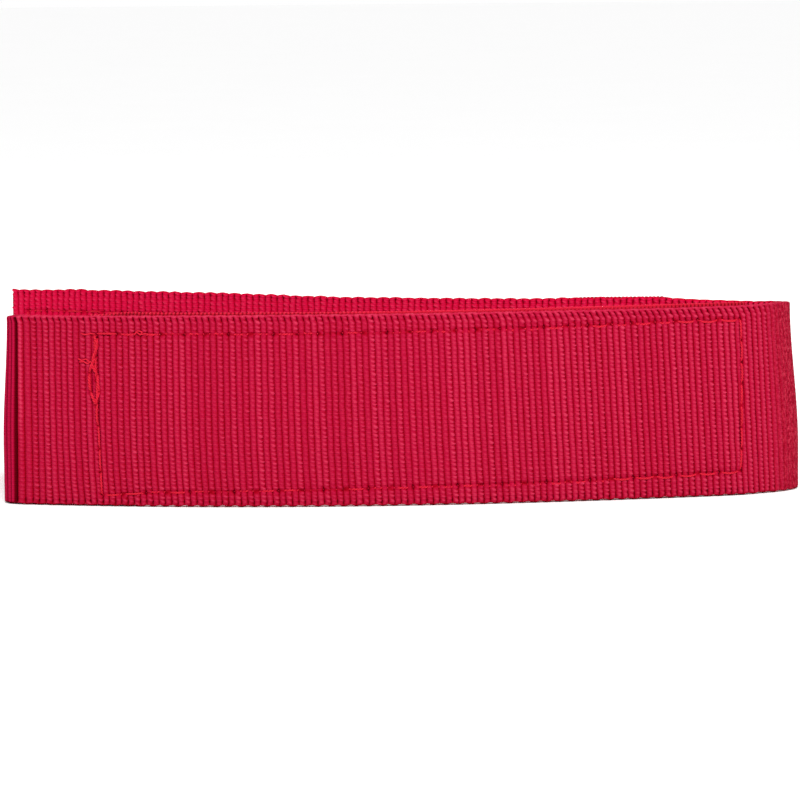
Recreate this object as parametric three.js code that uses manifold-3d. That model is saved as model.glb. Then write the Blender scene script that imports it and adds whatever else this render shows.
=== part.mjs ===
// A hook-and-loop strap of ribbed webbing, folded in half and standing on its long edge.
// Millimetres, +Z up. Seen from above, the strap runs along one curve: it starts at the hem of the
// front leg, runs to the right (+X), turns anticlockwise through the fold, and runs back to the left
// behind the front leg, as the back leg. A place on it is given by s, the distance along the outer
// face from the hem, and d, the depth inwards from that face. The origin is at the middle of the
// bottom of the bounding box.

import * as THREE from 'three';
import { mergeVertices } from 'three/addons/utils/BufferGeometryUtils.js';
import Module from 'manifold-3d';

// ---- driving dimensions ----

const WEB_WIDTH = 38;
const WEB_THICK = 1.5;
const GAP = 0.3; // left between pieces that touch on the real strap

// The curve of the outer face, as arcs: length in mm, and how far each one turns, in degrees.
const START_HEADING = -15.2;
const FRONT_ARCS = [[50, 12.5], [50, 10.5], [44, 6], [6, 13.6]];
const FOLD_ARCS = [[5.4, 12], [5.4, 23], [5.4, 44], [5.4, 43], [5.4, 32]];
const BACK_ARCS = [[15, -8.5], [40, -4], [45, -5], [59, -7]];
const HINGES = [158.6, 165.9, 172.7]; // distances at which the fold flexes
const FACET_TURN = 4; // most that one flat facet turns, degrees
const FACET_LENGTH = 12; // and most that it measures

const HEM_RADIUS = 3; // outside radius where the end is folded under
const HEM_LENGTH = 19; // of the layer that is folded under
const HEM_CLOSES = 12; // over this length it comes to lie on the leg

const PATCH_THICK = 1.8;
const HOOK_START = 14; // the hook patch starts over the end of the hem
const HOOK_END = 149;
const HOOK_STEP_END = 26; // where it has come down from the hem to the leg
const LOOP_START = 194;
const LOOP_END = 335;

const THREAD = 0.5;
const THREAD_SUNK = 0.1; // how far a stitch lies below the face it is sewn into
const SEAM_INSET = 1.8; // from the ends of a patch to its rows of stitches
const SEAM_TOP_INSET = 3.2; // from the edges of the webbing
const SEAM_BOTTOM_INSET = 2.6;

const RED = { webbing: 0xbb1536, patch: 0xc01c34, thread: 0xd62a32 };

// ---- the curve ----

const arcs = [...FRONT_ARCS, ...FOLD_ARCS, ...BACK_ARCS];
const STRAP_END = arcs.reduce((sum, [length]) => sum + length, 0);

// Facet corners along the whole strap: distance, position and heading of each.
function walkCurve() {
  const stations = [{ s: 0, x: 0, y: 0, heading: THREE.MathUtils.degToRad(START_HEADING) }];
  for (const [length, turn] of arcs) {
    const facets = Math.ceil(Math.max(Math.abs(turn) / FACET_TURN, length / FACET_LENGTH));
    const bend = THREE.MathUtils.degToRad(turn / facets);
    const stepLength = length / facets;
    for (let i = 0; i < facets; i++) {
      const last = stations[stations.length - 1];
      const along = last.heading + bend / 2;
      stations.push({
        s: last.s + stepLength,
        x: last.x + stepLength * Math.cos(along),
        y: last.y + stepLength * Math.sin(along),
        heading: last.heading + bend,
      });
    }
  }
  return stations;
}

const stations = walkCurve();

// The point at distance s and depth d. Beyond either end the curve runs straight on.
function place(s, d) {
  let i = stations.findIndex((station) => station.s > s);
  if (i < 1) i = i === 0 ? 1 : stations.length - 1;
  const [a, b] = [stations[i - 1], stations[i]];
  const t = (s - a.s) / (b.s - a.s);
  const heading = THREE.MathUtils.lerp(a.heading, b.heading, THREE.MathUtils.clamp(t, 0, 1));
  return new THREE.Vector2(
    THREE.MathUtils.lerp(a.x, b.x, t) - d * Math.sin(heading),
    THREE.MathUtils.lerp(a.y, b.y, t) + d * Math.cos(heading),
  );
}

// Distances from s0 to s1 with every facet corner between them.
function distances(s0, s1) {
  const margin = 0.2;
  const between = stations.map((station) => station.s).filter((s) => s > s0 + margin && s < s1 - margin);
  return [s0, ...between, s1];
}

// ---- solids ----

// Extrudes a plan outline, given in order as [s, d] pairs, from z0 to z1.
function extrudePlan(outline, z0, z1) {
  const shape = new THREE.Shape(outline.map(([s, d]) => place(s, d)));
  const geometry = new THREE.ExtrudeGeometry(shape, { depth: z1 - z0, bevelEnabled: false });
  return geometry.translate(0, 0, z0);
}

// A layer from s0 to s1 whose outer and inner depths are functions of s.
function layer(s0, s1, outer, inner, z0 = 0, z1 = WEB_WIDTH) {
  const run = distances(s0, s1);
  const outline = [
    ...run.map((s) => [s, outer(s)]),
    ...run.toReversed().map((s) => [s, inner(s)]),
  ];
  return extrudePlan(outline, z0, z1);
}

const wasm = await Module();
wasm.setup();

function toManifold(geometry) {
  const bare = geometry.clone();
  bare.deleteAttribute('normal');
  bare.deleteAttribute('uv');
  const merged = mergeVertices(bare);
  return new wasm.Manifold(new wasm.Mesh({
    numProp: 3,
    vertProperties: new Float32Array(merged.attributes.position.array),
    triVerts: new Uint32Array(merged.index.array),
  }));
}

function subtract(body, cutter) {
  const mesh = toManifold(body).subtract(toManifold(cutter)).getMesh();
  const geometry = new THREE.BufferGeometry();
  geometry.setAttribute('position', new THREE.BufferAttribute(mesh.vertProperties, 3));
  geometry.setIndex(new THREE.BufferAttribute(mesh.triVerts, 1));
  geometry.computeVertexNormals();
  return geometry;
}

const constant = (value) => () => value;
const plus = (depth, offset) => (s) => depth(s) + offset;

// The front leg, with its end turned under: out round the fold of the hem, along the layer under the
// leg to its end, and back along the inside of that layer.
function frontLeg() {
  const arcSteps = 8;
  const turned = (radius) => Array.from({ length: arcSteps + 1 }, (_, i) => {
    const angle = Math.PI * (i / arcSteps);
    return [-radius * Math.sin(angle), HEM_RADIUS - radius * Math.cos(angle)];
  });
  const lying = WEB_THICK + GAP;
  const open = 2 * HEM_RADIUS - WEB_THICK;
  const under = (s) => THREE.MathUtils.lerp(open, lying, THREE.MathUtils.smoothstep(s, 0, HEM_CLOSES));
  const hemRun = [];
  for (let s = 2; s < HEM_LENGTH; s += 2) hemRun.push(s);
  hemRun.push(HEM_LENGTH);
  const legRun = distances(0, HINGES[0] - GAP / 2);
  const outline = [
    ...turned(HEM_RADIUS).reverse(),
    ...legRun.slice(1).map((s) => [s, 0]),
    ...legRun.slice(1).reverse().map((s) => [s, WEB_THICK]),
    ...turned(HEM_RADIUS - WEB_THICK),
    ...hemRun.map((s) => [s, under(s)]),
    ...hemRun.toReversed().map((s) => [s, under(s) + WEB_THICK]),
  ];
  return extrudePlan(outline, 0, WEB_WIDTH);
}

// The outer side of the hook patch: over the hem at its start, then down on the leg.
function hookBase(s) {
  const onHem = 2 * (WEB_THICK + GAP);
  const onLeg = WEB_THICK + GAP;
  return THREE.MathUtils.lerp(onHem, onLeg, THREE.MathUtils.smoothstep(s, HEM_LENGTH + 1, HOOK_STEP_END));
}

function hookPatch() {
  return layer(HOOK_START, HOOK_END, hookBase, plus(hookBase, PATCH_THICK));
}

function loopPatch() {
  return layer(LOOP_START, LOOP_END, constant(-GAP - PATCH_THICK), constant(-GAP));
}

// A rectangular ring round the edge of a patch, `width` wide and `spread` larger than its row of
// stitches on every side, between the depths `outer` and `inner`.
function seamRing(patchStart, patchEnd, outer, inner, width, spread) {
  const s0 = patchStart + SEAM_INSET - spread;
  const s1 = patchEnd - SEAM_INSET + spread;
  const z0 = SEAM_BOTTOM_INSET - spread;
  const z1 = WEB_WIDTH - SEAM_TOP_INSET + spread;
  const block = layer(s0, s1, outer, inner, z0, z1);
  const middle = layer(s0 + width, s1 - width, plus(outer, -1), plus(inner, 1), z0 + width, z1 - width);
  return subtract(block, middle);
}

// Sews one thread of a seam into the face of depth `face` that looks outwards (side -1) or inwards
// (side 1). Returns the cloth with the groove that the stitches press into it, and the thread.
function sew(cloth, [patchStart, patchEnd], face, side) {
  const ring = (above, below, width, spread) => {
    const [top, bottom] = [plus(face, side * above), plus(face, -side * below)];
    const [outer, inner] = side < 0 ? [top, bottom] : [bottom, top];
    return seamRing(patchStart, patchEnd, outer, inner, width, spread);
  };
  return {
    cloth: subtract(cloth, ring(1, THREAD_SUNK + THREAD + GAP, THREAD + 2 * GAP, GAP)),
    thread: ring(-THREAD_SUNK, THREAD_SUNK + THREAD, THREAD, 0),
  };
}

// ---- the strap ----

const strap = new THREE.Group();

function addPiece(name, geometry, color, roughness) {
  const material = new THREE.MeshStandardMaterial({ color, roughness, metalness: 0 });
  const mesh = new THREE.Mesh(geometry, material);
  mesh.name = name;
  strap.add(mesh);
}

const frontSeam = [HOOK_START, HOOK_END];
const backSeam = [LOOP_START, LOOP_END];
const webbing = (s0, s1) => layer(s0, s1, constant(0), constant(WEB_THICK));
const backLeg = webbing(HINGES[2] + GAP / 2, STRAP_END);

const frontNeedle = sew(frontLeg(), frontSeam, constant(0), -1);
const frontBobbin = sew(hookPatch(), frontSeam, plus(hookBase, PATCH_THICK), 1);
const backNeedle = sew(backLeg, backSeam, constant(WEB_THICK), 1);
const backBobbin = sew(loopPatch(), backSeam, constant(-GAP - PATCH_THICK), -1);

addPiece('webbing_front_leg', frontNeedle.cloth, RED.webbing, 0.85);
addPiece('webbing_fold_1', webbing(HINGES[0] + GAP / 2, HINGES[1] - GAP / 2), RED.webbing, 0.85);
addPiece('webbing_fold_2', webbing(HINGES[1] + GAP / 2, HINGES[2] - GAP / 2), RED.webbing, 0.85);
addPiece('webbing_back_leg', backNeedle.cloth, RED.webbing, 0.85);
addPiece('hook_patch', frontBobbin.cloth, RED.patch, 0.9);
addPiece('loop_patch', backBobbin.cloth, RED.patch, 0.95);
addPiece('front_needle_thread', frontNeedle.thread, RED.thread, 0.6);
addPiece('front_bobbin_thread', frontBobbin.thread, RED.thread, 0.6);
addPiece('back_needle_thread', backNeedle.thread, RED.thread, 0.6);
addPiece('back_bobbin_thread', backBobbin.thread, RED.thread, 0.6);

// Origin at the middle of the bottom of the bounding box.
const box = new THREE.Box3().setFromObject(strap);
const centre = box.getCenter(new THREE.Vector3());
strap.position.set(-centre.x, -centre.y, -box.min.z);

export default strap;
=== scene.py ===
import math

import bpy
import numpy as np
from mathutils import Matrix, Vector


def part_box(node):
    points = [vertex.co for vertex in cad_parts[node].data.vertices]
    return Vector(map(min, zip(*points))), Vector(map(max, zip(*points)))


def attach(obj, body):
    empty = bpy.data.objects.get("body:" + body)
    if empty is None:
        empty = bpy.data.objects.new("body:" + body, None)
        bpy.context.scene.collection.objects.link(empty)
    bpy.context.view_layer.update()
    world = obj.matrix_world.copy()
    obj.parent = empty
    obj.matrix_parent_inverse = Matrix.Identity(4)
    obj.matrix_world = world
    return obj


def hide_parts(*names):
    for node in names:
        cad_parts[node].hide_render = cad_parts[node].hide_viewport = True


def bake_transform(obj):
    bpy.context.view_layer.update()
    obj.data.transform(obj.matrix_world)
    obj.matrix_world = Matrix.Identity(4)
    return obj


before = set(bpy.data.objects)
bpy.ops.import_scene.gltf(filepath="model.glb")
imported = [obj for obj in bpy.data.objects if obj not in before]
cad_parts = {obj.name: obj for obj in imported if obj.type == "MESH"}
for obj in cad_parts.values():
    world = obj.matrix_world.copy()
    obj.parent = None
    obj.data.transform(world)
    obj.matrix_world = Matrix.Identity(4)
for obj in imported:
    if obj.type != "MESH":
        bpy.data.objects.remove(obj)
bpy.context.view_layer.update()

# A folded hook-and-loop strap of ribbed webbing. Lengths are in millimetres until a mesh is made.
MM = 0.001

# ---- driving dimensions, the same as the CAD model's ----

WEB_WIDTH = 38.0
WEB_THICK = 1.5
START_HEADING = -15.2
CURVE_ARCS = [
    (50, 12.5), (50, 10.5), (44, 6), (6, 13.6),
    (5.4, 12), (5.4, 23), (5.4, 44), (5.4, 43), (5.4, 32),
    (15, -8.5), (40, -4), (45, -5), (59, -7),
]
HEM_RADIUS = 3.0
HEM_LENGTH = 19.0
HEM_CLOSES = 12.0
HEM_GAP = 0.2  # between the leg and the layer turned under
PATCH_THICK = 1.8
HOOK_START, HOOK_END, HOOK_STEP_END = 14.0, 149.0, 26.0
LOOP_START, LOOP_END = 194.0, 335.0

# ---- driving dimensions of the surface ----

RIB_PITCH = 1.276
HEM_RIBS = 22
CUT_RIBS = [118, 128, 133, 139]  # counted from the hem, where one piece of webbing ends and the next starts
BACK_RIBS = 118
RIB_STEPS = 5  # mesh columns to a rib
RIB_DEPTH = 0.42
BEAD_PITCH = 0.87  # along a rib, from one bulge to the next
YARN_PITCH = 0.435  # of the fine yarns that run along the strap
TAPE_THICK = 0.75
TAPE_GAP = 0.05  # between a tape and the ridges of the webbing
TAPE_ON_HEM = 0.45  # and where it lies over the end of the hem
STITCH_PITCH = 4.45
THREAD_RADIUS = 0.155

HEM_ARC = math.pi * HEM_RADIUS
STRAP_END = sum(length for length, _ in CURVE_ARCS)


def smoothstep(x, low, high):
    t = np.clip((x - low) / (high - low), 0, 1)
    return t * t * (3 - 2 * t)


def bell(x, middle, width):
    return np.exp(-(((x - middle) / width) ** 2))


# ---- the curve that the strap follows, seen from above ----

CURVE_STEP = 0.25
corner_s = np.cumsum([0.0] + [length for length, _ in CURVE_ARCS])
corner_heading = np.radians(START_HEADING + np.cumsum([0.0] + [turn for _, turn in CURVE_ARCS]))
curve_s = np.arange(0, STRAP_END + CURVE_STEP, CURVE_STEP)
middle_heading = np.interp(curve_s[:-1] + CURVE_STEP / 2, corner_s, corner_heading)
curve_x = np.concatenate([[0], np.cumsum(CURVE_STEP * np.cos(middle_heading))])
curve_y = np.concatenate([[0], np.cumsum(CURVE_STEP * np.sin(middle_heading))])


def heading_at(s):
    return np.interp(s, corner_s, corner_heading)


def on_curve(s, d):
    """x and y at distance s along the outer face and depth d inwards from it."""
    heading = heading_at(s)
    before = np.minimum(s, 0)
    x = np.interp(s, curve_s, curve_x) + before * math.cos(corner_heading[0])
    y = np.interp(s, curve_s, curve_y) + before * math.sin(corner_heading[0])
    return x - d * np.sin(heading), y + d * np.cos(heading)


# The curve starts at zero, so it moves to where the free end of the CAD back leg is.
back_low, back_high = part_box("webbing_back_leg")
SHIFT_X = back_low.x / MM - on_curve(STRAP_END, WEB_THICK)[0]
SHIFT_Y = back_high.y / MM - on_curve(STRAP_END, 0)[1]


def place(s, d, z):
    """Points, as an array of x, y, z in the row frame."""
    s, d, z = np.broadcast_arrays(s, d, z)
    x, y = on_curve(s, d)
    return np.stack([x + SHIFT_X, y + SHIFT_Y, z], axis=-1)


def place_cloth(c, d, z):
    """The same for distance c along the cloth, which is negative round the hem and on the layer turned under.

    The fold of the hem puffs out, more so towards the bottom.
    """
    c, d, z = np.broadcast_arrays(c, d, z)
    turned = np.clip(-c / HEM_RADIUS, 0, math.pi)
    radius = HEM_RADIUS - d
    under = np.maximum(-c - HEM_ARC, 0)
    closing = (2 * (HEM_RADIUS - WEB_THICK) - HEM_GAP) * smoothstep(under, 0, HEM_CLOSES)
    puff = 1.07 + 0.42 * smoothstep(WEB_WIDTH - z, 0, 26)
    s = np.where(c < 0, under - puff * radius * np.sin(turned), c)
    depth = np.where(c < 0, HEM_RADIUS - radius * np.cos(turned) - closing, d)
    return place(s, depth, z)


def hook_base(s):
    """Depth at which the hook patch starts: over the end of the hem, then on the leg."""
    on_hem = 2 * WEB_THICK + TAPE_ON_HEM
    on_leg = WEB_THICK + TAPE_GAP
    return on_hem + (on_leg - on_hem) * smoothstep(s, HEM_LENGTH + 0.4, HOOK_STEP_END + 1.5)


# ---- mesh helpers ----

def new_object(name, points, faces, material, attributes=None):
    """An object from points in millimetres, shaded smooth except on caps of many sides."""
    mesh = bpy.data.meshes.new(name)
    mesh.from_pydata((np.asarray(points).reshape(-1, 3) * MM).tolist(), [], faces)
    for attribute_name, values in (attributes or {}).items():
        attribute = mesh.attributes.new(attribute_name, "FLOAT", "POINT")
        attribute.data.foreach_set("value", np.asarray(values, np.float32).ravel())
    mesh.polygons.foreach_set("use_smooth", [len(face) <= 4 for face in faces])
    mesh.materials.append(material)
    obj = bpy.data.objects.new(name, mesh)
    bpy.context.scene.collection.objects.link(obj)
    return obj


def ring_faces(rings, sides, first=0):
    """Quads of a closed tube of `rings` rings of `sides` points, with its two end caps."""
    ring = np.arange(rings - 1)[:, None] * sides
    a = np.arange(sides)[None, :]
    b = (a + 1) % sides
    quads = np.stack([ring + a, ring + sides + a, ring + sides + b, ring + b], axis=-1)
    faces = (quads.reshape(-1, 4) + first).tolist()
    faces.append(list(range(first, first + sides)))
    faces.append(list(range(first + rings * sides - 1, first + (rings - 1) * sides - 1, -1)))
    return faces


def sharpen_caps(obj, sides):
    """Keeps the shading of the end caps off the faces beside them."""
    mesh = obj.data
    ends = np.zeros(len(mesh.edges) * 2, int)
    mesh.edges.foreach_get("vertices", ends)
    ends = ends.reshape(-1, 2)
    last = len(mesh.vertices) - sides
    sharp = (ends < sides).all(axis=1) | (ends >= last).all(axis=1)
    attribute = mesh.attributes.new("sharp_edge", "BOOLEAN", "EDGE")
    attribute.data.foreach_set("value", sharp)


def tubes(name, paths, radius, sides, material):
    """Closed round tubes along paths, an array of shape (tubes, points, 3)."""
    count, points, _ = paths.shape
    along = np.gradient(paths, axis=1)
    along /= np.linalg.norm(along, axis=2, keepdims=True)
    oblique = [0.31, 0.52, 0.79]  # parallel to no path
    side = np.cross(along[:, 0], oblique)
    rings = np.zeros((count, points, sides, 3))
    angles = np.arange(sides) * 2 * math.pi / sides
    for i in range(points):
        tangent = along[:, i]
        side = side - tangent * np.sum(side * tangent, axis=1, keepdims=True)
        side /= np.linalg.norm(side, axis=1, keepdims=True)
        other = np.cross(tangent, side)
        for j, angle in enumerate(angles):
            rings[:, i, j] = paths[:, i] + radius * (math.cos(angle) * side + math.sin(angle) * other)
    faces = []
    for tube in range(count):
        faces += ring_faces(points, sides, tube * points * sides)
    return new_object(name, rings, faces, material)


# ---- materials ----

def srgb(red, green, blue):
    """A linear colour from 8-bit sRGB values."""
    def linear(value):
        value /= 255
        return value / 12.92 if value <= 0.04045 else ((value + 0.055) / 1.055) ** 2.4
    return (linear(red), linear(green), linear(blue), 1.0)


class Nodes:
    """A material's node tree, with short calls for the nodes that these materials use."""

    def __init__(self, name):
        self.material = bpy.data.materials.new(name)
        self.material.use_nodes = True
        self.tree = self.material.node_tree
        self.shader = self.tree.nodes["Principled BSDF"]

    def add(self, kind, **settings):
        node = self.tree.nodes.new(kind)
        for key, value in settings.items():
            setattr(node, key, value)
        return node

    def link(self, output, socket):
        if isinstance(output, (int, float, tuple)):
            socket.default_value = output
        else:
            self.tree.links.new(output, socket)

    def attribute(self, name):
        return self.add("ShaderNodeAttribute", attribute_name=name).outputs["Fac"]

    def maths(self, operation, a, b=0.0):
        node = self.add("ShaderNodeMath", operation=operation)
        self.link(a, node.inputs[0])
        self.link(b, node.inputs[1])
        return node.outputs[0]

    def noise(self, size, detail=3.0, roughness=0.55, stretch=(1, 1, 1)):
        """Noise with features about `size` mm across, in object space."""
        where = self.add("ShaderNodeTexCoord").outputs["Object"]
        mapping = self.add("ShaderNodeMapping")
        mapping.inputs["Scale"].default_value = stretch
        self.link(where, mapping.inputs["Vector"])
        node = self.add("ShaderNodeTexNoise")
        node.inputs["Scale"].default_value = 1 / (size * MM)
        node.inputs["Detail"].default_value = detail
        node.inputs["Roughness"].default_value = roughness
        self.link(mapping.outputs["Vector"], node.inputs["Vector"])
        return node.outputs["Fac"]

    def ramp(self, factor, stops):
        node = self.add("ShaderNodeValToRGB")
        elements = node.color_ramp.elements
        while len(elements) < len(stops):
            elements.new(0.5)
        for element, (position, color) in zip(elements, stops):
            element.position = position
            element.color = color
        self.link(factor, node.inputs["Fac"])
        return node.outputs["Color"]

    def mix(self, factor, a, b):
        node = self.add("ShaderNodeMix", data_type="RGBA")
        self.link(factor, node.inputs["Factor"])
        self.link(a, node.inputs["A"])
        self.link(b, node.inputs["B"])
        return [output for output in node.outputs if output.type == "RGBA"][0]

    def bump(self, height, distance, strength):
        node = self.add("ShaderNodeBump")
        node.inputs["Strength"].default_value = strength
        node.inputs["Distance"].default_value = distance * MM
        self.link(height, node.inputs["Height"])
        return node.outputs["Normal"]

    def finish(self, color, normal, roughness, specular, sheen=0.0, sheen_tint=(1, 1, 1, 1)):
        inputs = self.shader.inputs
        self.link(color, inputs["Base Color"])
        self.link(normal, inputs["Normal"])
        self.link(roughness, inputs["Roughness"])
        inputs["Specular IOR Level"].default_value = specular
        inputs["Sheen Weight"].default_value = sheen
        inputs["Sheen Roughness"].default_value = 0.4
        inputs["Sheen Tint"].default_value = sheen_tint
        return self.material


def webbing_beads(nodes):
    """Height of the beads that show on the flank of each rib, weaker on every second rib."""
    phase = nodes.attribute("phase")
    within = nodes.maths("FRACT", phase)
    rest = nodes.maths("SUBTRACT", 1.0, within)
    flank = nodes.maths("MULTIPLY", nodes.maths("MULTIPLY", within, within), rest)
    odd = nodes.maths("FLOORED_MODULO", nodes.maths("FLOOR", phase), 2.0)
    braided = nodes.maths("SUBTRACT", 1.0, nodes.maths("MULTIPLY", odd, 0.4))
    bead = nodes.maths("MULTIPLY", nodes.maths("SINE", nodes.attribute("turn")), braided)
    return nodes.maths("MULTIPLY", nodes.maths("MULTIPLY", bead, flank), 6.75)


def webbing_color(nodes, ridge, bead, speckle):
    """Painted shade between the cords and painted light on them, and painted light that makes the inner face
    lighter than the outer.
    """
    # The beads add a painted highlight on their bulges and painted shade between them.
    shades = nodes.maths("ADD", nodes.maths("MULTIPLY", ridge, 0.62), nodes.maths("MULTIPLY", bead, 0.1))
    shades = nodes.maths("ADD", shades, 0.12)
    outer = nodes.ramp(shades, [
        (0.0, srgb(44, 0, 0)), (0.12, srgb(84, 0, 0)), (0.34, srgb(118, 0, 6)),
        (0.7, srgb(143, 9, 42)), (1.0, srgb(173, 47, 72)),
    ])
    # Painted light: the inner face is lit more from above, so its ramp is lighter.
    inner = nodes.ramp(shades, [
        (0.0, srgb(90, 0, 8)), (0.12, srgb(150, 0, 14)), (0.34, srgb(178, 0, 32)),
        (0.7, srgb(195, 10, 59)), (1.0, srgb(212, 48, 82)),
    ])
    color = nodes.mix(nodes.attribute("inner"), outer, inner)

    # Painted shade, darker towards the free end.
    along = nodes.attribute("along")
    painted_end_shade = nodes.maths("MULTIPLY", nodes.maths("SUBTRACT", along, 200.0), 0.0025)
    color = nodes.mix(painted_end_shade, color, srgb(150, 0, 38))

    # Single yarns that catch the light, and a slow drift of the dye.
    spots = nodes.ramp(speckle, [(0.4, (0, 0, 0, 1)), (0.75, (1, 1, 1, 1))])
    lit = nodes.maths("MULTIPLY", nodes.maths("MULTIPLY", spots, ridge), 0.4)
    color = nodes.mix(lit, color, srgb(170, 36, 60))
    drift = nodes.noise(9.0, 2.0)
    color = nodes.mix(nodes.maths("MULTIPLY", drift, 0.2), color, srgb(150, 6, 48))

    # Pulled apart over the outside of the fold, and painted shade with a painted purple reflection round the
    # fold of the hem.
    pulled = nodes.ramp(nodes.noise(0.3, 2.0, 0.6, (1, 1, 0.4)), [
        (0.34, srgb(104, 0, 14)), (0.5, srgb(142, 14, 40)), (0.68, srgb(178, 50, 70)),
    ])
    color = nodes.mix(nodes.maths("MULTIPLY", nodes.attribute("stretch"), 0.7), color, pulled)
    from_hem = nodes.maths("ABSOLUTE", nodes.maths("ADD", along, 4.7))
    hem = nodes.maths("LESS_THAN", from_hem, 4.2)
    hem_painted_shade = nodes.ramp(ridge, [(0.3, srgb(70, 0, 6)), (0.85, srgb(148, 8, 47))])
    return nodes.mix(nodes.maths("MULTIPLY", hem, 0.75), color, hem_painted_shade)


def webbing_material():
    """Ribbed webbing: cords across the strap, each bound by yarns that show as beads on its flank."""
    nodes = Nodes("webbing")
    ridge = nodes.attribute("ridge")
    bead = webbing_beads(nodes)
    speckle = nodes.noise(0.5, 3.0, 0.7)
    color = webbing_color(nodes, ridge, bead, speckle)

    fibre = nodes.noise(0.16, 2.0, 0.6, (0.35, 0.35, 2.2))
    yarn = nodes.maths("SINE", nodes.maths("MULTIPLY", nodes.attribute("across"), 2 * math.pi / YARN_PITCH))
    grain = nodes.maths("ADD", nodes.maths("MULTIPLY", yarn, 0.25), fibre)
    grain = nodes.maths("ADD", grain, speckle)
    grain = nodes.maths("ADD", grain, nodes.maths("MULTIPLY", bead, 0.35))
    normal = nodes.bump(grain, 0.09, 0.9)
    roughness = nodes.maths("ADD", 0.55, nodes.maths("MULTIPLY", fibre, 0.2))
    return nodes.finish(color, normal, roughness, 0.01)


def tape_material(name, light, dark):
    """The woven ground of a hook or loop tape."""
    nodes = Nodes(name)
    drift = nodes.noise(1.6, 3.0)
    across = nodes.attribute("across")
    along = nodes.attribute("along")
    color = nodes.mix(drift, dark, light)
    # The ridge value darkens the woven ticks and paints a shadow line just below the top edge.
    color = nodes.mix(nodes.attribute("ridge"), srgb(112, 0, 14), color)
    warp_pitch, weft_pitch = 0.5, 0.8
    warp = nodes.maths("SINE", nodes.maths("MULTIPLY", across, 2 * math.pi / warp_pitch))
    weft = nodes.maths("SINE", nodes.maths("MULTIPLY", along, 2 * math.pi / weft_pitch))
    weave = nodes.maths("ADD", nodes.maths("MULTIPLY", warp, weft), nodes.noise(0.2))
    normal = nodes.bump(weave, 0.08, 0.9)
    return nodes.finish(color, normal, 0.75, 0.04, 0.02, srgb(255, 120, 120))


def filament_material(name, light, dark, roughness, specular):
    """Single hooks or pile fibres, each a little different from the next."""
    nodes = Nodes(name)
    color = nodes.mix(nodes.noise(2.2, 2.0), dark, light)
    normal = nodes.bump(nodes.noise(0.12, 2.0), 0.03, 0.6)
    return nodes.finish(color, normal, roughness, specular, 0.1, srgb(255, 170, 170))


def thread_material():
    """Shiny sewing thread, lighter and more orange than the webbing."""
    nodes = Nodes("thread")
    color = nodes.mix(nodes.noise(0.9, 2.0), srgb(148, 4, 26), srgb(190, 20, 46))
    normal = nodes.bump(nodes.noise(0.1, 2.0), 0.04, 0.8)
    return nodes.finish(color, normal, 0.45, 0.1)


WEBBING = webbing_material()
HOOK_TAPE = tape_material("hook_tape", srgb(212, 34, 62), srgb(186, 18, 46))
LOOP_TAPE = tape_material("loop_tape", srgb(172, 22, 46), srgb(142, 6, 32))
HOOKS = filament_material("hooks", srgb(176, 30, 36), srgb(146, 12, 26), 0.4, 0.35)
PILE = filament_material("pile", srgb(172, 26, 50), srgb(140, 8, 34), 0.75, 0.1)
THREAD = thread_material()


# ---- seams, as closed lines on the face of the cloth ----

# Heights of the long rows of the front seam: distance, and how far above the bottom.
FRONT_SEAM_TOP = [(15, 34.45), (62, 34.45), (85, 34.75), (105, 35.05), (130, 35.55)]
FRONT_SEAM_BOTTOM = [(17, 1.95), (27, 2.6), (50, 2.9), (62, 3.2), (108, 3.85), (125, 4.2), (147, 4.75)]
FRONT_SEAM_LEFT, FRONT_SEAM_RIGHT = 16.1, 147.1
BACK_SEAM = (LOOP_START + 1.8, LOOP_END - 2.9, 2.6, WEB_WIDTH - 4.3)  # first and last s, and z

# Needle holes where the front seam is sewn over twice.
BACKTACK = np.array([
    (16.6, 33.5), (16.0, 29.8), (14.8, 26.6), (15.0, 22.8), (16.1, 20.2),
    (16.8, 22.8), (16.5, 26.2), (15.4, 28.8), (16.7, 32.2), (15.9, 34.2),
])


def front_seam_sides():
    """The four rows of the front seam as arrays of (s, z), once round from its top left."""
    run = np.linspace(FRONT_SEAM_LEFT, FRONT_SEAM_RIGHT, 60)
    top = list(zip(run, np.interp(run, *zip(*FRONT_SEAM_TOP))))
    run = run[::-1]
    lean = 0.9  # of the left row, to the right at its foot
    foot = lean * smoothstep(run, 30, FRONT_SEAM_LEFT)
    bottom = list(zip(run + foot, np.interp(run, *zip(*FRONT_SEAM_BOTTOM))))
    right = [top[-1], (FRONT_SEAM_RIGHT + 0.3, 30), (FRONT_SEAM_RIGHT + 0.3, 6), bottom[0]]
    low, high = bottom[-1][1], top[0][1]
    left = [(FRONT_SEAM_LEFT + lean * (1 - t) ** 1.5, low + t * (high - low)) for t in np.linspace(0, 1, 12)]
    return [np.array(side) for side in (top, right, bottom, left)]


def back_seam_sides():
    """The same for the back seam, a plain rectangle."""
    s0, s1, z0, z1 = BACK_SEAM
    corners = [(s0, z1), (s1, z1), (s1, z0), (s0, z0), (s0, z1)]
    return [np.array(side) for side in zip(corners[:-1], corners[1:])]


def seam_distance(sides, s, z):
    """Distance in the plane of the cloth from points (s, z) to a seam."""
    best = np.full(np.broadcast(s, z).shape, np.inf)
    for side in sides:
        for (s0, z0), (s1, z1) in zip(side[:-1], side[1:]):
            run_s, run_z = s1 - s0, z1 - z0
            t = np.clip(((s - s0) * run_s + (z - z0) * run_z) / (run_s**2 + run_z**2), 0, 1)
            best = np.minimum(best, np.hypot(s - s0 - t * run_s, z - z0 - t * run_z))
    return best


def needle_holes(sides):
    """Needle holes along a seam as (s, z), evenly spaced on each side and one at each corner."""
    holes = []
    for side in sides:
        lengths = np.hypot(*np.diff(side, axis=0).T)
        travelled = np.concatenate([[0], np.cumsum(lengths)])
        count = round(travelled[-1] / STITCH_PITCH)
        at = np.linspace(0, travelled[-1], count + 1)[:-1]
        holes.append(np.stack([np.interp(at, travelled, side[:, i]) for i in (0, 1)], axis=-1))
    holes.append(holes[0][:1])
    return np.concatenate(holes)


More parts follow.
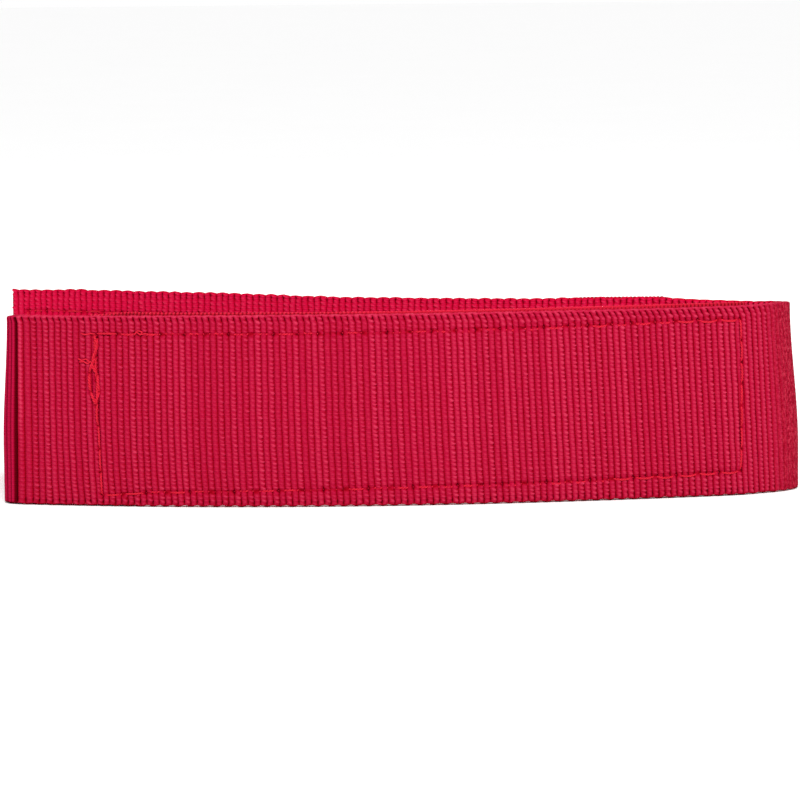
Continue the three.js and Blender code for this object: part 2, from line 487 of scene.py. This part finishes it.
def hole_distance(holes, s, z):
    """Distance in the plane of the cloth from points (s, z) to the nearest hole."""
    best = np.full(np.broadcast(s, z).shape, np.inf)
    for hole_s, hole_z in holes:
        best = np.minimum(best, np.hypot(s - hole_s, z - hole_z))
    return best


FRONT_SEAM = front_seam_sides()
BACK_SEAM_SIDES = back_seam_sides()


# ---- webbing ----

def rib_columns(first_rib, last_rib, start, pitch):
    """Cloth distance, rib number and place within the rib (0 to 1) of each mesh column."""
    steps = np.arange((last_rib - first_rib) * RIB_STEPS + 1)
    rib = first_rib + steps // RIB_STEPS
    within = (steps % RIB_STEPS) / RIB_STEPS
    squeezed = within - 0.06 * np.sin(2 * math.pi * within)
    return start + (rib - first_rib + squeezed) * pitch, rib, within


EDGE_BAND = 4.2  # with closer mesh rows
EDGE_ROUND = 0.35
TOP_REACH = 0.2  # the cords turn back a little outside the nominal width
BOTTOM_REACH = 0.3


def face_rows():
    """Heights of the mesh rows on a face that is seen, closer together near both edges."""
    edge_step, middle_step = 0.21, 0.29
    edge = np.arange(EDGE_ROUND, EDGE_BAND, edge_step)
    middle_count = round((WEB_WIDTH - 2 * EDGE_BAND) / middle_step)
    middle = np.linspace(EDGE_BAND, WEB_WIDTH - EDGE_BAND, middle_count + 1)
    return np.concatenate([edge, middle, WEB_WIDTH - edge[::-1]])


def rib_noise(rib, seed):
    """A number from -1 to 1 that belongs to a rib."""
    return 2 * np.modf(np.abs(np.sin(rib * 12.9898 + seed * 78.233) * 43758.5453))[0] - 1


def rib_lean(c, z):
    """The ribs aren't square to the strap: they lean on towards the fold, lower down on its left part."""
    straight = smoothstep(c, 20, 130)
    lower = np.maximum(WEB_WIDTH / 2 - z, 0)
    lean = 0.055 * straight * smoothstep(c, 192, 165) * (WEB_WIDTH / 2 - z)
    return lean + 0.002 * (1 - straight) * smoothstep(c, 2, 12) * lower**2


def bead_wave(c, rib, within, z, side):
    """Phase and size of the beads along each rib, uneven from rib to rib and weaker on every second one."""
    slant = 0.5 * (within - 0.5) * side
    wander = 0.1 * np.sin(1.9 * z + 5 * rib_noise(rib, 5)) + 0.09 * np.sin(0.63 * z + 9 * rib_noise(rib, 6))
    turn = 2 * math.pi * (z + slant + wander) / BEAD_PITCH + 1.2 * rib_noise(rib, 1) + 0.02 * rib
    braided = np.where(rib % 2 == 0, 1.0, 0.45) * (1 + 0.35 * rib_noise(rib, 7))
    uneven = np.sin(z * 1.37 + 5 * rib_noise(rib, 8)) + np.sin(z * 2.9 + 9 * rib_noise(rib, 9))
    bead = braided * (np.sin(turn) + 0.25 * np.sin(turn / 2 + 0.8)) * (1 + 0.2 * uneven)
    return turn, bead * smoothstep(c, 0.5, 2.0)


def top_lean(c, rib, z, side):
    """How far the cords lean back towards the hem near the top edge, where they turn over."""
    if side < 0:
        return 0.05 * np.sin(z * 2.2 + rib)
    top_gap = WEB_WIDTH - z
    hooked = 0.45 * np.clip(1 - top_gap / 1.5, 0, 1)
    curled = 0.5 * np.clip(1 - top_gap / 2.6, 0, 1) ** 2 * smoothstep(c, 60, 120)
    return (hooked + curled) * smoothstep(c, 162, 150)


def web_surface(columns, z, side, seam):
    """Shifts of the face at every column and row: along the cloth, outwards, and the ridge value.

    The ridge value is 1 on a cord and 0 between two. side is 1 on the outer face and -1 on the inner.
    """
    c, rib, within = (column[:, None] for column in columns)
    z = z[None, :]
    outside = side > 0
    ridge = 1 - np.abs(np.cos(math.pi * within)) ** 7
    flank = within**2 * (1 - within) * 6
    turn, bead = bead_wave(c, rib, within, z, side)

    along = 0.19 * bead * flank + 0.035 * np.sin(z * 0.9 + rib_noise(rib, 2) * 3) * smoothstep(c, -1, 2)
    along = along + rib_lean(c, z) - top_lean(c, rib, z, side)
    if outside:
        along = along - (0.45 + 0.45 * (1 - z / WEB_WIDTH)) * bell(c, 0, 1.3)

    # The grooves between the cords: deeper at the holes near the edges and round the hem, flat on the rim
    # and where the fold pulls them open.
    edge = np.minimum(WEB_WIDTH - z, z)
    rim = smoothstep(edge, 0.1, 0.42)
    edge_hole = bell(edge, 0.75, 0.4)
    hem = smoothstep(c, 1.5, 0) * smoothstep(c, -9, -7)
    stretched = side * smoothstep(c, 153, 160) * smoothstep(c, 182, 169)
    depth = RIB_DEPTH * rim * (1 + 0.45 * edge_hole + 0.6 * hem) * (1 - 0.55 * stretched)
    out = -depth * (1 - ridge) + 0.022 * bead * ridge * rim + 0.03 * rib_noise(rib, 3)
    # The ridge value paints shade into the grooves, more in the holes near the edges and round the hem, and a
    # painted highlight on the bead bulges. The painted contrast fades where the fold pulls the grooves open.
    value = 1 - (1 - ridge) * rim * (1 + 0.5 * edge_hole) + 0.04 * bead * ridge + 0.12 * bead * flank
    value = value + 0.09 * rib_noise(rib, 10) * ridge
    value = value + stretched * (0.55 - value) * 0.8 - 0.4 * hem * (1 - ridge)

    if outside:
        # Painted highlight on one flank of each cord and painted shade on the other, along the middle and
        # right of the front leg.
        painted_flank_light = smoothstep(c, 60, 135) * smoothstep(c, 192, 184)
        value = value + 0.3 * painted_flank_light * (flank - 0.45) * (1 - 0.8 * stretched)
        # A crease at the hem, with painted shade in it and a painted highlight on the cord beside it.
        out = out - 0.35 * bell(c, 0.1, 0.35)
        value = value - 1.2 * bell(c, 0.1, 0.3)
        value = value + 0.6 * bell(c, 0.65, 0.25) * smoothstep(z, 8, 22)
    if seam is not None:
        # The thread presses a trench into the face, and the needle pricks it; painted shade darkens both.
        holes = np.concatenate([needle_holes(seam), BACKTACK]) if outside else needle_holes(seam)
        trench = bell(seam_distance(seam, c + along, z), 0, 0.42)
        prick = bell(hole_distance(holes, c + along, z), 0, 0.42)
        out = out - 0.2 * trench - 0.2 * prick
        value = value - 0.3 * trench - 0.75 * prick
    return {"along": along, "out": out, "ridge": value, "turn": turn, "stretch": stretched + 0 * z}


def scallops(columns):
    """How far the two edges stand out at each column, from the cords turning back at every second rib."""
    c, rib, within = columns
    pair = (rib % 2 + within) / 2
    arch = np.sin(math.pi * pair) ** 0.8
    uneven = 0.3 * rib_noise(rib // 2, 4)
    top = TOP_REACH + (0.1 + 0.22 * smoothstep(c, 186, 202)) * arch * (1 + uneven)
    bottom = BOTTOM_REACH * (1 - arch**3 * (1 - np.abs(uneven))) - BOTTOM_REACH
    return top, bottom


def fold_flare(c, z):
    """How far the fold stands out beyond the curve: the strap flares towards the bottom there."""
    window = smoothstep(c, 150, 163) * smoothstep(c, 188, 168)
    return window * (1.7 * smoothstep(z, WEB_WIDTH, 9) - 0.4)


# Where the top edge runs lower than the width of the webbing: cloth distance, and how much.
TOP_DROP = [(-3, 0.6), (2, 0.3), (30, 0.1), (60, 0), (100, 0), (135, 0.1), (160, 0), (168, 0.5),
            (176, 0.8), (186, 0.4), (194, 0), (212, 0.2), (224, 0.45), (262, 0.5), (285, 0.1),
            (322, 0), (330, 0.25)]


def web_piece(name, columns, outer_rows, inner_rows, outer_seam=None, inner_seam=None):
    """A closed length of webbing, as rings of points round its width and thickness."""
    c, rib, within = columns
    top_scallop, bottom_scallop = scallops(columns)
    drop = np.interp(c, *zip(*TOP_DROP))
    rings = []
    keys = ("along", "across", "inner", "ridge", "turn", "stretch", "phase")
    attributes = {key: [] for key in keys}

    def add_rows(z, depth, surface):
        z = z[None, :]
        grid_c = c[:, None] + surface["along"]
        edge_top = smoothstep(z, WEB_WIDTH - 2.5, WEB_WIDTH)
        edge_bottom = smoothstep(z, 1.2, 0)
        height = z + edge_top * (top_scallop - drop)[:, None] + edge_bottom * bottom_scallop[:, None]
        rings.append(place_cloth(grid_c, depth - fold_flare(c[:, None], z), height))
        values = {
            "along": grid_c, "across": z, "inner": depth / WEB_THICK, "phase": (rib + within)[:, None],
            "ridge": surface["ridge"], "turn": surface["turn"], "stretch": surface["stretch"],
        }
        for key, value in values.items():
            attributes[key].append(np.broadcast_to(value, rings[-1].shape[:2]))

    def add_face(rows, side, seam):
        surface = web_surface(columns, rows, side, seam)
        depth = -surface["out"] if side > 0 else WEB_THICK + surface["out"]
        add_rows(rows, depth, surface)
        return surface

    def add_rim(height, direction, surface, column):
        """The rounded edge, where the cords turn over in pairs: a painted highlight above, painted shade
        below.
        """
        angles = np.linspace(0, math.pi, 7)[1:-1][::direction]
        depth = WEB_THICK * (1 - np.cos(angles)) / 2
        pair = np.sin(math.pi * (rib % 2 + within) / 2)[:, None]
        pinch = 0.16 * (1 - pair) * np.sin(angles)[None, :]
        if direction > 0:
            # Painted highlight along the top edge, brighter on its outer half and fading towards the fold,
            # with painted shade in the pinch between pairs.
            value = 0.55 + 0.75 * smoothstep(c, 180, 150)[:, None] * (1 - depth / WEB_THICK)[None, :]
            value = value - 0.25 * (1 - pair) * np.sin(angles)[None, :]
        else:
            # Painted shade under the bottom edge, darkest in the middle of each pair.
            value = 0.5 - 1.0 * pair**2 * np.sin(angles)[None, :]
        edge = {key: surface[key][:, column][:, None] for key in ("along", "turn", "stretch")}
        edge["ridge"] = value
        z = height + direction * EDGE_ROUND * np.sin(angles)
        add_rows(z, depth[None, :] * (1 - 0.3 * pinch) + 0.15 * pinch, edge)

    outer = add_face(outer_rows, 1, outer_seam)
    add_rim(WEB_WIDTH - EDGE_ROUND, 1, outer, -1)
    add_face(inner_rows[::-1], -1, inner_seam)
    add_rim(EDGE_ROUND, -1, outer, 0)
    points = np.concatenate(rings, axis=1)
    sides = points.shape[1]
    values = {key: np.concatenate(parts, axis=1) for key, parts in attributes.items()}
    obj = new_object(name, points, ring_faces(len(c), sides), WEBBING, attributes=values)
    sharpen_caps(obj, sides)
    return obj


cut_c = [rib * RIB_PITCH for rib in CUT_RIBS]
back_pitch = (STRAP_END - 0.35 - cut_c[-1]) / BACK_RIBS
fine_rows = face_rows()
plain_rows = np.linspace(EDGE_ROUND, WEB_WIDTH - EDGE_ROUND, 16)

web_front = web_piece(
    "web_front_leg",
    rib_columns(-HEM_RIBS, CUT_RIBS[0], -HEM_RIBS * RIB_PITCH, RIB_PITCH),
    fine_rows, plain_rows, outer_seam=FRONT_SEAM,
)
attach(web_front, "front_leg")
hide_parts("webbing_front_leg")

web_back = web_piece(
    "web_back_leg",
    rib_columns(CUT_RIBS[-1], CUT_RIBS[-1] + BACK_RIBS, cut_c[-1], back_pitch),
    plain_rows, fine_rows, inner_seam=BACK_SEAM_SIDES,
)
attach(web_back, "back_leg")
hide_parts("webbing_back_leg")

for i, name in enumerate(["web_fold_a", "web_fold_b", "web_fold_c"]):
    ribs = (CUT_RIBS[i], CUT_RIBS[i + 1])
    columns = rib_columns(*ribs, cut_c[i], RIB_PITCH)
    web = web_piece(name, columns, fine_rows, fine_rows)
    middle = (cut_c[i] + cut_c[i + 1]) / 2
    reach = (cut_c[i + 1] - cut_c[i]) / 2 - 0.1
    rise = reach * rib_lean(middle, 0) / (WEB_WIDTH / 2)  # tilts the ends along a rib; the start and end points below are not used
    start = place(middle - reach, WEB_THICK / 2, WEB_WIDTH / 2 - rise) * MM
    end = place(middle + reach, WEB_THICK / 2, WEB_WIDTH / 2 + rise) * MM
    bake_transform(web)
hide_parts("webbing_fold_1")
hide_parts("webbing_fold_2")


# ---- hook and loop tapes ----

def tape(name, s0, s1, base, side, lift, material):
    """The woven ground of a patch, with small ticks along both edges. side is 1 inwards, -1 outwards.

    base is the depth of its underside, and lift is how far its top edge stands above the nominal width.
    """
    tick = 0.8
    count = round((s1 - s0) / tick)
    steps = 4
    s = np.linspace(s0, s1, count * steps + 1)
    within = (np.arange(len(s)) % steps) / steps
    ridge = np.sin(math.pi * within) ** 0.7
    outline = [(z, 0.0) for z in np.linspace(0.3, WEB_WIDTH - 0.3, 14)]
    outline += [(WEB_WIDTH, 0.2), (WEB_WIDTH, TAPE_THICK - 0.2)]
    outline += [(z, TAPE_THICK) for z in np.linspace(WEB_WIDTH - 0.3, 0.3, 30)]
    outline += [(0.0, TAPE_THICK - 0.2), (0.0, 0.2)]
    z, d = np.array(outline).T
    edge = np.minimum(z, WEB_WIDTH - z)
    at_edge = bell(edge, 0, 0.5)
    notch = -0.14 * (1 - ridge)[:, None] * at_edge * np.where(z > WEB_WIDTH / 2, 1, -1)
    height = z + notch + lift(s)[:, None] * smoothstep(z, 0, WEB_WIDTH)
    depth = base(s)[:, None] + side * (d + 0.08 * (ridge[:, None] - 1) * (d > 0.1))
    points = place(s[:, None], depth, height)
    tick_value = 1 - (1 - ridge) * (1 - 0.75 * smoothstep(s, 55, 80) * smoothstep(s, 150, 120))
    # A painted shadow line on the row just below the top edge, where the tape stands above the webbing.
    painted_gap_shadow = 0.5 * (np.abs(z - WEB_WIDTH + 0.3) < 0.1)
    values = {
        "along": np.broadcast_to(s[:, None], height.shape),
        "across": np.broadcast_to(z, height.shape),
        "ridge": tick_value[:, None] - painted_gap_shadow,
    }
    faces = ring_faces(len(s), len(z))
    if side < 0:
        faces = [face[::-1] for face in faces]
    obj = new_object(name, points, faces, material, attributes=values)
    sharpen_caps(obj, len(z))
    return obj


def hook_lift(s):
    """How far the hook tape shows above the front leg."""
    return 0.65 * smoothstep(s, 15, 24) + 0.2 * smoothstep(s, 60, 130)


def constant(value):
    """A function of s that is the same everywhere."""
    return lambda s: value + 0.0 * s


def loop_lift(s):
    """The loop tape follows the top edge of the back leg."""
    return 0.6 * smoothstep(s, 224, 208) + TOP_REACH - 0.35 - np.interp(s, *zip(*TOP_DROP))


hook_tape = tape("hook_tape", HOOK_START, HOOK_END, hook_base, 1, hook_lift, HOOK_TAPE)
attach(hook_tape, "front_leg")
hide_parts("hook_patch")
loop_base = constant(-TAPE_GAP)
loop_tape = tape("loop_tape", LOOP_START, LOOP_END, loop_base, -1, loop_lift, LOOP_TAPE)
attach(loop_tape, "back_leg")
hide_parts("loop_patch")


def scatter(s0, s1, step_s, step_z, seam, seed, jitter):
    """Places in rows over a patch, clear of its edges and of its seam."""
    rng = np.random.default_rng(seed)
    end_margin, seam_margin = 1.1, 0.55
    lowest, highest = 1.5, WEB_WIDTH - 1.4
    s, z = np.meshgrid(
        np.arange(s0 + end_margin, s1 - end_margin, step_s),
        np.arange(lowest, highest, step_z),
        indexing="ij",
    )
    s = s.ravel() + rng.uniform(-jitter, jitter, s.size) * step_s
    z = z.ravel() + rng.uniform(-jitter, jitter, z.size) * step_z
    keep = seam_distance(seam, s, z) > seam_margin
    return s[keep], z[keep], rng


def hook_field():
    """Rows of small hooks: a stem, and a tip bent over and back towards the tape."""
    s, z, rng = scatter(HOOK_START, HOOK_END, 1.35, 1.3, FRONT_SEAM, 11, 0.08)
    turn = np.linspace(0, 1, 7)
    rise = PATCH_THICK - TAPE_THICK - 0.1
    rooted = 0.1
    bend_start = 0.4
    bend_radius = 0.27
    angle = math.pi * 1.15 * np.clip((turn - bend_start) / (1 - bend_start), 0, 1)
    reach = bend_radius * (1 - np.cos(angle))
    stem = np.minimum(turn / bend_start, 1) * (rise - bend_radius)
    height = stem + bend_radius * np.sin(angle)
    facing = np.where(np.arange(len(s)) % 2 == 0, 1, -1)[:, None]
    lean = rng.uniform(-0.12, 0.12, (len(s), 1))
    hook_s = s[:, None] + facing * reach[None, :] + lean * height[None, :]
    hook_z = z[:, None] + rng.uniform(-0.15, 0.15, (len(s), 1)) * height[None, :]
    depth = hook_base(s)[:, None] + TAPE_THICK - rooted + height[None, :]
    return tubes("hook_field", place(hook_s, depth, hook_z), 0.085, 5, HOOKS)


def loop_pile():
    """Small soft loops lying in every direction over the loop tape."""
    s, z, rng = scatter(LOOP_START, LOOP_END, 0.84, 0.88, BACK_SEAM_SIDES, 23, 0.48)
    turn = np.linspace(0, 1, 6)
    rooted = 0.15
    count = len(s)
    way = rng.uniform(0, 2 * math.pi, (count, 1))
    width = rng.uniform(0.35, 0.8, (count, 1))
    rise = rng.uniform(0.45, 1.0, (count, 1)) * (PATCH_THICK - TAPE_THICK)
    skew = rng.uniform(-0.4, 0.4, (count, 1))
    across = width * (turn - 0.5)[None, :]
    arch = np.sin(math.pi * turn)[None, :]
    loop_s = s[:, None] + across * np.cos(way) - skew * arch * np.sin(way)
    loop_z = z[:, None] + across * np.sin(way) + skew * arch * np.cos(way)
    depth = -TAPE_GAP - TAPE_THICK + rooted - rise * arch
    return tubes("loop_pile", place(loop_s, depth, loop_z), 0.055, 3, PILE)


hooks = hook_field()
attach(hooks, "front_leg")
pile = loop_pile()
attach(pile, "back_leg")


# ---- stitches ----

def buried(s):
    """How far the level rows have sunk between the ribs along the middle of the strap."""
    return 0.4 * smoothstep(s, 26, 40) * smoothstep(s, 132, 95)


def stitch_paths(holes, depth_at, out, proud, dip, bow, rng):
    """Middle line of each stitch from hole to hole, rising out of the cloth and going down again.

    depth_at gives the depth of the face and out is 1 if it looks inwards, -1 if outwards. A stitch stands
    `proud` of it in its middle and lies `dip` below it at its ends, and level ones sag sideways by `bow`.
    """
    t = np.linspace(0, 1, 22)[None, :]
    start, end = holes[:-1, None, :], holes[1:, None, :]
    wander = rng.uniform(-0.16, 0.16, (2, len(start), 1))
    s = start[..., 0] + (end - start)[..., 0] * t + wander[0] * np.sin(math.pi * t)
    z = start[..., 1] + (end - start)[..., 1] * t + wander[1] * np.sin(math.pi * t)
    level = np.abs(end - start)[..., 0] > np.abs(end - start)[..., 1]
    z = z - level * bow(s) * (1 - (2 * t - 1) ** 2)
    sunk = 0.3 * (rng.random((len(start), 1)) < 0.3)
    rise = proud + rng.uniform(-0.1, 0.08, (len(start), 1)) + np.where(level, -buried(s) - sunk, 0.06)
    plunge = np.abs(2 * t - 1) ** np.where(level, 2.2, 4.0)
    return s, z, depth_at(s) + out * (rise - (rise + dip) * plunge)


def ply(s, z, depth, name, radius=THREAD_RADIUS):
    """Two strands twisted round each other along the middle lines."""
    centre = place(s, depth, z)
    along = np.gradient(centre, axis=1)
    along /= np.linalg.norm(along, axis=2, keepdims=True)
    heading = heading_at(s)
    outward = np.stack([np.sin(heading), -np.cos(heading), np.zeros_like(heading)], axis=-1)
    across = np.cross(along, outward)
    travelled = np.cumsum(np.linalg.norm(np.gradient(centre, axis=1), axis=2), axis=1)
    lay = 1.25  # length of one full twist
    angle = 2 * math.pi * travelled / lay
    strands = []
    for turn in (0, math.pi):
        offset = np.cos(angle + turn)[..., None] * across + np.sin(angle + turn)[..., None] * outward
        strands.append(centre + 0.8 * radius * offset)
    return tubes(name, np.concatenate(strands), radius, 6, THREAD)


def flat_bow(s):
    """The front stitches sag between their holes where the strap is lit from the side."""
    return 0.42 * smoothstep(s, 60, 110)


def hook_face(s):
    return hook_base(s) + TAPE_THICK


no_bow = constant(0.0)
outer_face = constant(0.0)
inner_face = constant(WEB_THICK)
loop_face = constant(-TAPE_GAP - TAPE_THICK)

# Name, seam, face and which way it looks, proud, dip, bow, body, and the CAD thread that it stands for.
SEAMS = [
    ("front_needle_stitches", FRONT_SEAM, outer_face, -1, 0.04, 0.9, flat_bow,
     "front_leg", "front_needle_thread"),
    ("front_bobbin_stitches", FRONT_SEAM, hook_face, 1, 0.16, 0.5, no_bow,
     "front_leg", "front_bobbin_thread"),
    ("back_needle_stitches", BACK_SEAM_SIDES, inner_face, 1, -0.3, 0.75, no_bow,
     "back_leg", "back_needle_thread"),
    ("back_bobbin_stitches", BACK_SEAM_SIDES, loop_face, -1, 0.16, 0.5, no_bow,
     "back_leg", "back_bobbin_thread"),
]
FIRST_STITCH_SEED = 40
for seed, (name, outline, depth_at, out, proud, dip, bow, body, node) in enumerate(SEAMS, FIRST_STITCH_SEED):
    rng = np.random.default_rng(seed)
    s, z, depth = stitch_paths(needle_holes(outline), depth_at, out, proud, dip, bow, rng)
    stitches = ply(s, z, depth, name)
    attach(stitches, body)
    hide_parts(node)


def backtack():
    """The front seam starts and ends in its first row, sewn over twice, with short ends of thread left."""
    rng = np.random.default_rng(50)
    s, z, depth = stitch_paths(BACKTACK, outer_face, -1, 0.16, 0.75, no_bow, rng)
    doubled = ply(s, z, depth, "backtack_stitches", radius=0.2)
    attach(doubled, "front_leg")

    ends = [
        [(13.3, 34.5), (14.3, 34.3), (15.3, 34.55), (16.2, 34.4)],
        [(24.2, 34.3), (25.0, 35.2), (25.9, 34.9), (25.3, 34.2)],
        [(24.6, 35.0), (25.5, 34.4), (26.5, 34.6), (27.2, 34.4)],
        [(12.6, 29.5), (13.4, 29.1), (14.2, 29.4), (15.2, 28.7)],
        [(12.9, 28.8), (13.8, 28.9), (14.6, 28.4), (15.3, 29.0)],
    ]
    t = np.linspace(0, 3, 16)
    s, z = ([np.interp(t, range(4), np.array(end)[:, i]) for end in ends] for i in (0, 1))
    lift = 0.12 + 0.1 * np.sin(t * 2.2) - 0.3 * bell(t, 3, 0.3)
    fuzz = tubes("thread_ends", place(s, -lift, z), THREAD_RADIUS, 6, THREAD)
    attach(fuzz, "front_leg")


backtack()


# ---- floor, light and camera ----

def floor():
    """A pale floor just under the lowest cords."""
    nodes = Nodes("floor")
    color = nodes.mix(nodes.noise(60.0), srgb(250, 250, 250), srgb(252, 252, 252))
    normal = nodes.bump(nodes.noise(4.0), 0.01, 0.1)
    material = nodes.finish(color, normal, 0.9, 0.1)
    half = 4000.0
    corners = [(-half, -half, 0), (half, -half, 0), (half, half, 0), (-half, half, 0)]
    obj = new_object("floor", corners, [[0, 1, 2, 3]], material)
    clearance = 0.03
    obj.location.z = -(BOTTOM_REACH + clearance) * MM


def area_light(name, location, size, power):
    """A round lamp that looks at the origin."""
    light = bpy.data.lights.new(name, "AREA")
    light.shape = "DISK"
    light.size = size
    light.energy = power
    obj = bpy.data.objects.new(name, light)
    obj.location = location
    obj.rotation_euler = (-Vector(location)).to_track_quat("-Z", "Y").to_euler()
    bpy.context.scene.collection.objects.link(obj)


def world_light(strength):
    world = bpy.data.worlds.new("studio")
    world.use_nodes = True
    background = world.node_tree.nodes["Background"]
    background.inputs["Color"].default_value = (1, 1, 1, 1)
    background.inputs["Strength"].default_value = strength
    bpy.context.scene.world = world


def camera():
    """A long lens a little above the strap, square to the length of its front leg."""
    elevation = math.radians(6.507)
    roll = math.radians(-0.553)
    distance = 906.8
    right_of_hem = 76.58
    hem_x = on_curve(0.0, 0.0)[0] + SHIFT_X
    target = Vector((hem_x + right_of_hem, SHIFT_Y, WEB_WIDTH / 2))
    up = Vector((0, math.sin(elevation), math.cos(elevation)))
    position = target + distance * Vector((0, -math.cos(elevation), math.sin(elevation)))
    aim_above = 1.16
    aim = target + aim_above * up
    data = bpy.data.cameras.new("camera")
    data.sensor_width = 36
    data.lens = 203.0
    data.clip_start = 0.01
    obj = bpy.data.objects.new("camera", data)
    turn = (aim - position).to_track_quat("-Z", "Y").to_matrix() @ Matrix.Rotation(roll, 3, "Z")
    obj.matrix_world = Matrix.Translation(position * MM) @ turn.to_4x4()
    bpy.context.scene.collection.objects.link(obj)
    bpy.context.scene.camera = obj


floor()
world_light(1.0)
area_light("key", (0.09, -0.66, 0.45), 0.3, 6.5)
area_light("back", (0.1, 0.6, 0.5), 0.5, 1.5)
camera()
bpy.context.scene.view_settings.view_transform = "Standard"
